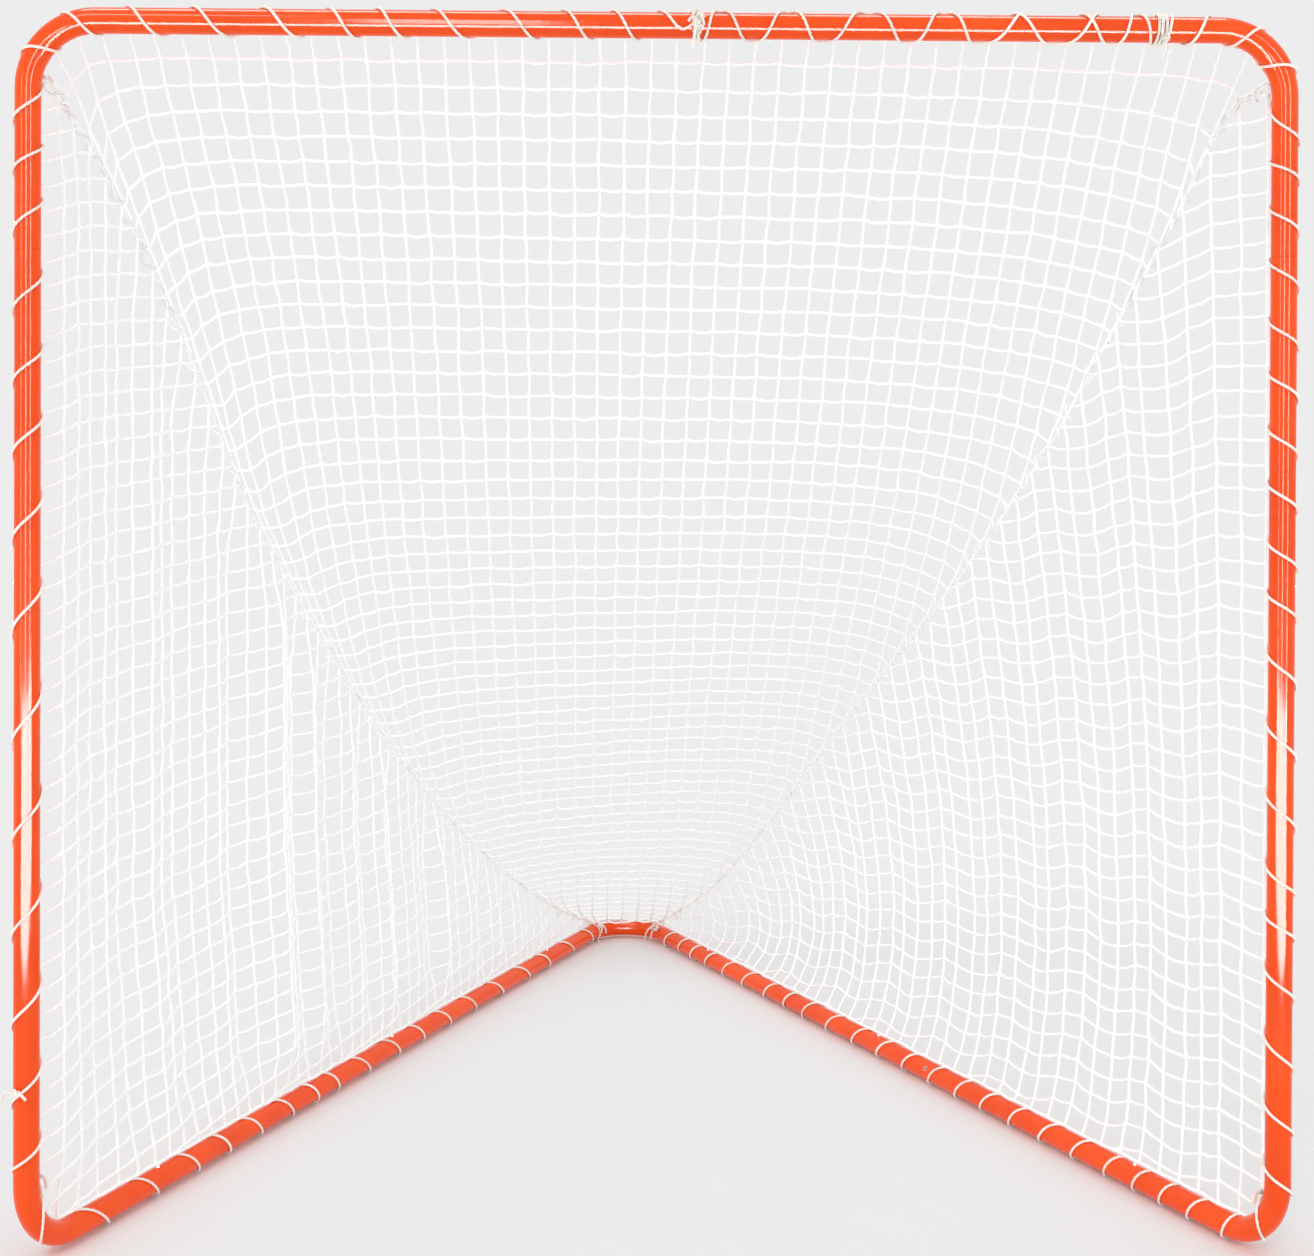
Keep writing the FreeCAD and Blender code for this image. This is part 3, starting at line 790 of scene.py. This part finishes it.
netSet = {
    "radius": 0.0025,
    "knotSwell": 1.3,
    "cuts": (0.12, 0.5, 0.88),  # where a strand's points lie between two knots
    "jitter": 0.0016,
    "slack": 0.0024,
    "bow": 0.0018,
    "shortest": 0.012,  # a shorter strand stays straight
    "selvedge": 0.0031,
    "leastCut": 0.04,
    "seed": 31,
}


def rim(run, wide):  # rises smoothly from 0 at an edge to 1 at this width
    t = max(0.0, min(1.0, run / wide))
    return t * t * (3 - 2 * t)


backSet = {
    "across": 0.039,
    "down": 0.0437,
    "rows": 64,
    "columns": 24,  # on each side of the middle one, which lies this share of a mesh to the left
    "offMiddle": 0.3,
    "lean": 0.11,
    "leanWidth": 0.5,
    "droopLeft": [(0.085, 0.07), (-0.02, 0.35)],  # size and width of each sag beside a seam
    "droopRight": [(0.045, 0.14), (0.055, 0.30)],
    "droopLow": (0.10, 0.13, 0.5, 0.5),  # one more at the right: size, width, start and growth
    "bunchLeft": 0.025,  # the columns crowd together beside a seam and run on along it
    "bunchRight": 0.012,
    "overlap": 0.04,
    "edge": 0.02,  # the panel's left edge, from the middle of the post
    "slope": 0.74,  # about how far back a run down the panel gets
    "topFade": 0.13,
    "columnStep": 0.004,
    "samples": 160,
    "apexTrim": 0.002,
}


def seamReachX(y):
    return tube["postX"] - (y - tube["postY"]) / legCos * legSin


def backStart():
    return tube["postY"] + tube["netGap"] * 0.7


def topEdge(x):
    gap = tube["netGap"] * 0.45
    over = abs(x) - tube["postX"] + tube["bend"]
    if over <= 0:
        return tube["barZ"] - gap
    reach = tube["bend"] - gap
    return tube["barZ"] - tube["bend"] + math.sqrt(max(0.0, reach ** 2 - over ** 2))


def backHeight(x, y):
    reach = (y - tube["postY"]) / legCos
    half = max(0.02, seamReachX(y))
    t = max(0.0, min(1.0, (x + half) / (2 * half)))
    height = seamHeight(-1, reach) * (1 - t) + seamHeight(1, reach) * t
    fade = max(0.0, 1 - (y - backStart()) / backSet["topFade"]) ** 2
    lift = topEdge(x) - seamHeight(-1, 0)
    return height + lift * fade


def columnTable(x):
    start = backStart()
    stop = tube["rearY"] - backSet["apexTrim"]
    count = backSet["samples"]
    spots, runs = [], [0.0]
    for i in range(count + 1):
        y = start + (stop - start) * i / count
        spots.append((y, backHeight(x, y)))
        if i:
            runs.append(runs[-1] + math.hypot(y - spots[-2][0], spots[-1][1] - spots[-2][1]))
    return spots, runs


columnCache = {}


def droopAt(x, half, slope):
    left, right = max(0.0, x + half), max(0.0, half - x)
    sag = sum(size * math.exp(-left / wide) for size, wide in backSet["droopLeft"])
    sag += sum(size * math.exp(-right / wide) for size, wide in backSet["droopRight"])
    size, wide, begin, growth = backSet["droopLow"]
    low = size * math.exp(-right / wide) * rim(slope - begin, growth)
    return sag * rim(slope, 0.12) * (1 - 0.55 * rim(slope, 2.4)) + low


def depthDown(x, down):
    key = round(x / backSet["columnStep"])
    if key not in columnCache:
        columnCache[key] = columnTable(key * backSet["columnStep"])
    spots, runs = columnCache[key]
    low, high = 0, len(runs) - 1
    while high - low > 1:
        middle = (low + high) // 2
        if runs[middle] <= down:
            low = middle
        else:
            high = middle
    part = (down - runs[low]) / (runs[high] - runs[low])
    return spots[low][0] + (spots[high][0] - spots[low][0]) * part


def backPlace(a, b):
    flat = a * backSet["across"]
    down = b * backSet["down"]
    edge = tube["postX"] - backSet["edge"]
    fromLeft = max(0.0, 1 - (flat + edge) / backSet["leanWidth"])
    x = flat + backSet["lean"] * down * min(1.0, fromLeft) ** 1.3
    down += droopAt(x, seamReachX(tube["postY"] + down * backSet["slope"]), down)
    y = depthDown(x, down)
    half = seamReachX(y)
    gap = half - abs(x)
    bunch = backSet["bunchLeft" if x < 0 else "bunchRight"]
    x = math.copysign(half - bunch * math.log(1 + math.exp(gap / bunch)), x)
    inside = gap + backSet["overlap"]
    bendY = tube["rearY"] - tube["bend"]
    if y > bendY:
        inside = min(inside, tube["bend"] - backSet["apexTrim"] - math.hypot(x, y - bendY))
    return Vector((x, y, backHeight(x, y))), inside


sideSet = {
    "left": {
        "start": 0.063,
        "along": 0.0400,
        "up": 0.0375,
        "tilt": 0.13,
        "lean": (0.0, 0.0),
        "belly": -0.006,
        "dip": 0.012,
        "ripple": 0.0,
        "pleat": 0.012,
        "firstRow": -9,
        "rows": 50,
        "columns": 56,
        "folds": [  # depth of the gathers behind the post
            -0.015, -0.009, -0.001, 0.002, 0.011, 0.010, 0.002, 0.012,
            0.021, 0.016, 0.011, 0.009, 0.020, 0.005, -0.011, -0.023,
        ],
    },
    "right": {
        "start": 0.033,
        "along": 0.0490,
        "up": 0.0375,
        "tilt": -0.085,
        "lean": (0.05, 0.35),
        "belly": 0.055,
        "dip": 0.0,
        "ripple": 0.008,
        "pleat": 0.003,
        "firstRow": 0,
        "rows": 54,
        "columns": 46,
        "folds": [],
    },
    "footSlip": 0.12,
    "ripplePitch": 4.2,
    "end": 2.19,  # how far along the leg the net reaches
}


def pleatAt(look, a):
    folds = look["folds"]
    if not folds or a > len(folds) - 1:
        wave = math.sin(a * 1.95 + 0.6) + 0.45 * math.sin(a * 3.37 + 1.1) + 0.3 * math.sin(a * 0.71)
        return look["pleat"] * wave
    low = max(0, min(len(folds) - 2, math.floor(a)))
    part = max(0.0, a - low)
    return folds[low] * (1 - part) + folds[low + 1] * part


def sidePlace(side):
    look = sideSet["left" if side < 0 else "right"]
    foot = tube["legZ"] + tube["netGap"]

    def place(a, b):
        reach = look["start"] + a * look["along"]
        height = foot + b * look["up"] + look["tilt"] * reach
        height -= look["dip"] * max(0.0, 1 - a / 1.5)  # the first columns hang lower
        height += look["ripple"] * math.sin(2 * math.pi * (a - 1) / sideSet["ripplePitch"])
        if side < 0:
            reach += sideSet["footSlip"] * max(0.0, 0.5 - height) * rim(reach, 0.3)
        else:
            reach += look["lean"][0] * (height - look["lean"][1]) * rim(reach, 0.3)
        top = seamHeight(side, reach)
        part = max(0.0, min(1.0, (height - foot) / max(0.02, top - foot)))
        hold = rim(height - foot, 0.12) * rim(top - height, 0.16) * rim(reach - 0.02, 0.035)
        out = look["belly"] * math.sin(math.pi * part ** 0.7) * rim(reach, 0.5) * rim(2.15 - reach, 0.5)
        out += pleatAt(look, a) * hold
        inside = min(height - foot, top - height, reach - tube["netGap"], sideSet["end"] - reach)
        return onLeg(side, reach, height, out), inside

    return place


def cutAtEdge(place, inner, outer):
    low, high = 0.0, 1.0
    for _ in range(14):
        middle = (low + high) / 2
        spot = [i + (o - i) * middle for i, o in zip(inner, outer)]
        if place(*spot)[1] >= 0:
            low = middle
        else:
            high = middle
    spot = [i + (o - i) * low for i, o in zip(inner, outer)]
    return place(*spot)[0], low


def strandRuns(place, line, nodes):
    run, runs = [], []
    for index, node in enumerate(line):
        if nodes[node][1] >= 0:
            if not run and index:
                spot, part = cutAtEdge(place, node, line[index - 1])
                if part > netSet["leastCut"]:
                    run.append(spot)
            run.append(nodes[node][0])
        elif run:
            spot, part = cutAtEdge(place, line[index - 1], node)
            if part > netSet["leastCut"]:
                run.append(spot)
            runs.append(run)
            run = []
    if run:
        runs.append(run)
    return [found for found in runs if len(found) > 1]


def addLine(curve, points):
    spline = curve.splines.new("POLY")
    spline.points.add(len(points) - 1)
    for slot, (point, swell) in zip(spline.points, points):
        slot.co = (*point, 1)
        slot.radius = swell


def addStrand(curve, run, draw, sag, drift):
    points = []
    for a, b in zip(run, run[1:]):
        length = (b - a).length
        slackDown = -upwards * sag * draw.uniform(0.2, 1.5) * min(1.0, length / 0.03)
        slackSide = drift * draw.uniform(-1, 1) * netSet["bow"]
        points.append((a, netSet["knotSwell"]))
        if length < netSet["shortest"]:
            continue
        for t in netSet["cuts"]:
            bend = 4 * t * (1 - t)
            points.append((a.lerp(b, t) + (slackDown + slackSide) * bend, 1.0))
    points.append((run[-1], netSet["knotSwell"]))
    addLine(curve, points)


def knitPanel(name, node, place, columns, rows, border):
    draw = random.Random(netSet["seed"] + len(name))
    nodes = {}
    for a in columns:
        for b in rows:
            spot, inside = place(a, b)
            shake = Vector([draw.uniform(-1, 1) * netSet["jitter"] for _ in range(3)])
            nodes[(a, b)] = (spot + shake * rim(inside, 0.05), inside)
    curve = bpy.data.curves.new(name + "_strands", "CURVE")
    curve.dimensions = "3D"
    curve.bevel_depth = netSet["radius"]
    curve.bevel_resolution = 1
    curve.use_fill_caps = True
    for a in columns:
        for run in strandRuns(place, [(a, b) for b in rows], nodes):
            addStrand(curve, run, draw, 0.0, Vector((0.7, 0.5, 0)))
    for b in rows:
        for run in strandRuns(place, [(a, b) for a in columns], nodes):
            addStrand(curve, run, draw, netSet["slack"], Vector((0, 0.6, 0.6)))
    for edge in border:
        addLine(curve, [(point, netSet["selvedge"] / netSet["radius"]) for point in edge])
    piece = curveToPiece(curve, name, twineLook)
    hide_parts(node)
    print(name, "has", len(piece.data.polygons), "faces")


def wavyEdge(points, seed, size=0.0012):
    draw = random.Random(seed)
    return [point + Vector([draw.uniform(-size, size) for _ in range(3)]) for point in points]


def sideBorder(side):
    gap = tube["netGap"]
    foot = tube["legZ"] + gap
    top = seamHeight(side, gap)
    post = [onLeg(side, gap, foot + i * (top - foot) / 70) for i in range(71)]
    leg = [onLeg(side, gap + i * (sideSet["end"] - gap) / 80, foot) for i in range(81)]
    return [wavyEdge(post, 3), wavyEdge(leg, 4)]


def backBorder():
    top = [backPlace(i / 2, 0)[0] for i in range(-47, 48)]
    wide = math.pi / 2 - tube["angle"]
    bend = tube["bend"] - backSet["apexTrim"]
    middleY = tube["rearY"] - tube["bend"]
    height = tube["legZ"] + tube["netGap"]
    apex = []
    for i in range(25):
        turn = wide * (i / 12 - 1)
        apex.append(Vector((bend * math.sin(turn), middleY + bend * math.cos(turn), height)))
    return [wavyEdge(top, 5), wavyEdge(apex, 6)]


def knitNet():
    half = backSet["columns"]
    columns = [i - backSet["offMiddle"] for i in range(-half, half + 1)]
    knitPanel("net_panel_back", "net_back", backPlace, columns, range(backSet["rows"]), backBorder())
    for word, side in sides.items():
        look = sideSet[word]
        columns, rows = range(-1, look["columns"]), range(look["firstRow"], look["rows"])
        knitPanel("net_panel_" + word, "net_side_" + word, sidePlace(side), columns, rows, sideBorder(side))


knitNet()
print("net knitted")


# Floor, backdrop and light

studioSet = {
    "pale": 0.806,
    "mottle": 0.004,
    "bounce": 0.93,  # how white the floor is to the object: only the camera and glossy surfaces see it paler
    "ambient": 0.95,
    "sun": 0.5,
    "sunTurn": (math.radians(52), 0, math.radians(-20)),
    "floorDrop": 0.0004,
    "nearFloor": 3.2,
    "farFloor": 7.0,
    "sunAngle": 14,
    "gloss": [  # strips that only show in glossy surfaces: name, place, turn, size and power
        ("bar_strip", (0, -3.1, 0.3), (127.5, 0, 0), (4.4, 0.8), 420),
        ("left_strip", (-5.2, -6.0, 1.85), (90, 0, -35), (0.8, 3.7), 100),
        ("middle_strip", (-0.7, -6.4, 1.85), (90, 0, 0), (0.8, 3.7), 190),
        ("right_strip", (3.4, -6.0, 1.85), (90, 0, 35), (0.8, 3.7), 190),
        ("top_strip", (0, -0.4, 6.0), (0, 0, 0), (5.0, 1.4), 260),
    ],
}


def floorLight(white):
    tilt = studioSet["sunTurn"][0]
    return white * (studioSet["ambient"] + studioSet["sun"] / math.pi * math.cos(tilt))


def seenDirectly(nodes, links):
    path = nodes.new("ShaderNodeLightPath")
    total = path.outputs["Is Camera Ray"]
    for kind in ("Is Glossy Ray", "Is Transmission Ray"):
        either = nodes.new("ShaderNodeMath")
        either.operation = "MAXIMUM"
        links.new(total, either.inputs[0])
        links.new(path.outputs[kind], either.inputs[1])
        total = either.outputs["Value"]
    return total


def addChoice(nodes, links, choice, first, second):
    mix = nodes.new("ShaderNodeMix")
    mix.data_type = "RGBA"
    links.new(choice, mix.inputs["Factor"])
    mix.inputs["A"].default_value = (first, first, first, 1)
    mix.inputs["B"].default_value = (second, second, second, 1)
    return mix


def makeFloor():
    place = (0, 0, -studioSet["floorDrop"])
    bpy.ops.mesh.primitive_circle_add(vertices=64, radius=60, fill_type="NGON", location=place)
    floor = bpy.context.object
    floor.name = "studio_floor"
    material, nodes, links, shader = newMaterial("pale_floor")
    space = nodes.new("ShaderNodeTexCoord").outputs["Object"]
    mottle = addNoise(nodes, links, space, 3, 4)
    pale = studioSet["pale"]
    change = studioSet["mottle"]
    stops = [(0.3, (pale - change,) * 3), (0.7, (pale + change,) * 3)]
    tone = addRamp(nodes, links, mottle.outputs["Fac"], stops)
    seen = seenDirectly(nodes, links)
    colour = addChoice(nodes, links, seen, studioSet["bounce"], pale)
    links.new(tone.outputs["Color"], colour.inputs["B"])
    links.new(colour.outputs["Result"], shader.inputs["Base Color"])
    shader.inputs["Roughness"].default_value = 0.9
    shader.inputs["Specular IOR Level"].default_value = 0.0
    distance = nodes.new("ShaderNodeVectorMath")
    distance.operation = "LENGTH"
    links.new(space, distance.inputs[0])
    near, beyond = studioSet["nearFloor"], studioSet["farFloor"]
    far = addRange(nodes, links, distance.outputs["Value"], near, beyond, 0, 1)
    glow = nodes.new("ShaderNodeEmission")
    level = addChoice(nodes, links, seen, floorLight(studioSet["bounce"]), floorLight(pale))
    links.new(level.outputs["Result"], glow.inputs["Color"])
    mix = nodes.new("ShaderNodeMixShader")
    links.new(far.outputs["Result"], mix.inputs["Fac"])
    links.new(shader.outputs["BSDF"], mix.inputs[1])
    links.new(glow.outputs["Emission"], mix.inputs[2])
    links.new(mix.outputs["Shader"], nodes["Material Output"].inputs["Surface"])
    floor.data.materials.append(material)


def makeWorld():
    world = bpy.data.worlds.new("pale_studio")
    bpy.context.scene.world = world
    world.use_nodes = True
    nodes, links = world.node_tree.nodes, world.node_tree.links
    light = nodes["Background"]
    light.inputs["Color"].default_value = (1, 1, 1, 1)
    light.inputs["Strength"].default_value = studioSet["ambient"]
    seen = nodes.new("ShaderNodeBackground")
    seen.inputs["Color"].default_value = (*(floorLight(studioSet["pale"]),) * 3, 1)
    mix = nodes.new("ShaderNodeMixShader")
    links.new(seenDirectly(nodes, links), mix.inputs["Fac"])
    links.new(light.outputs["Background"], mix.inputs[1])
    links.new(seen.outputs["Background"], mix.inputs[2])
    links.new(mix.outputs["Shader"], nodes["World Output"].inputs["Surface"])


def makeLamps():
    bpy.ops.object.light_add(type="SUN", rotation=studioSet["sunTurn"])
    sun = bpy.context.object
    sun.name = "soft_sun"
    sun.data.energy = studioSet["sun"]
    sun.data.angle = math.radians(studioSet["sunAngle"])
    for name, place, degrees, size, power in studioSet["gloss"]:
        turn = [math.radians(part) for part in degrees]
        bpy.ops.object.light_add(type="AREA", location=place, rotation=turn)
        lamp = bpy.context.object
        lamp.name = name
        lamp.data.shape = "RECTANGLE"
        lamp.data.size, lamp.data.size_y = size
        lamp.data.energy = power
        lamp.visible_diffuse = False
        lamp.visible_camera = False


makeFloor()
makeWorld()
makeLamps()
bpy.context.scene.view_settings.view_transform = "Standard"
print("floor and light ready")

for helper in [item for item in bpy.data.objects if item.name.endswith("_section")]:
    bpy.data.objects.remove(helper)
